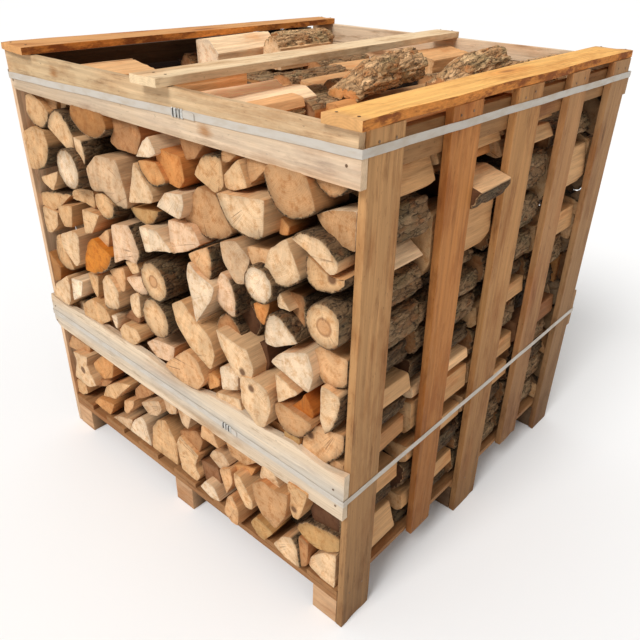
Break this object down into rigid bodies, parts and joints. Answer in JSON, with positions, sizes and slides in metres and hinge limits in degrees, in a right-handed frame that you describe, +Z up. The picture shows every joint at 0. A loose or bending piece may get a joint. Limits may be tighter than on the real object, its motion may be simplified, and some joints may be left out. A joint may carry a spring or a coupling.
{
  "type": "crate of birch firewood",
  "caption": "Slatted pallet crate stacked with split birch logs, held by two straps, with loose logs and three boards across the top.",
  "frame": {"origin": "on the ground, under the centre of the crate's bounding box", "axes": "+Z up, +X right along the front where the log ends show, +Y from the front to the back"},
  "size_m": [1.1784, 1.1654, 1.213],
  "materials": {
    "pale_timber": "sawn, light",
    "brown_timber": "sawn, weathered brown",
    "orange_timber": "sawn, orange",
    "grey_timber": "sawn, weathered grey",
    "pallet_timber": "sawn, weathered",
    "split_birch": "split, raw",
    "birch_bark": "rough bark",
    "strap": "matt white band",
    "seal_steel": "crimped"
  },
  "bodies": {
    "root": {"back_rail_lower": "pale_timber", "back_rail_middle": "grey_timber", "back_rail_upper": "pale_timber", "block_back_left": "pallet_timber", "block_back_middle": "pallet_timber", "block_back_right": "pallet_timber", "block_front_left": "pallet_timber", "block_front_middle": "pallet_timber", "block_front_right": "pallet_timber", "block_mid_left": "pallet_timber", "block_mid_middle": "pallet_timber", "block_mid_right": "pallet_timber", "cross_board_back": "pallet_timber", "cross_board_front": "pallet_timber", "cross_board_mid": "pallet_timber", "deck_board_1": "pallet_timber", "deck_board_2": "pallet_timber", "deck_board_3": "pallet_timber", "deck_board_4": "pallet_timber", "deck_board_5": "pallet_timber", "deck_board_6": "pallet_timber", "deck_board_7": "pallet_timber", "front_rail_lower": "pale_timber", "front_rail_middle": "grey_timber", "front_rail_upper": "pale_timber", "logs_back_rank": "split_birch", "logs_front_rank": "split_birch", "logs_second_rank": "split_birch", "logs_third_rank": "split_birch", "loose_log_1": "split_birch", "loose_log_10": "birch_bark", "loose_log_11": "split_birch", "loose_log_12": "birch_bark", "loose_log_2": "split_birch", "loose_log_3": "birch_bark", "loose_log_4": "split_birch", "loose_log_5": "split_birch", "loose_log_6": "split_birch", "loose_log_7": "split_birch", "loose_log_8": "birch_bark", "loose_log_9": "split_birch", "lower_strap": "strap", "lower_strap_seal": "seal_steel", "side_rail_left": "brown_timber", "side_rail_right": "brown_timber", "slat_left_1": "brown_timber", "slat_left_2": "brown_timber", "slat_left_3": "brown_timber", "slat_left_4": "brown_timber", "slat_left_5": "brown_timber", "slat_right_1": "brown_timber", "slat_right_2": "orange_timber", "slat_right_3": "brown_timber", "slat_right_4": "brown_timber", "slat_right_5": "brown_timber", "top_board_left": "orange_timber", "top_board_middle": "pale_timber", "top_board_right": "orange_timber", "upper_strap": "strap", "upper_strap_seal": "seal_steel"}
  },
  "joints": []
}
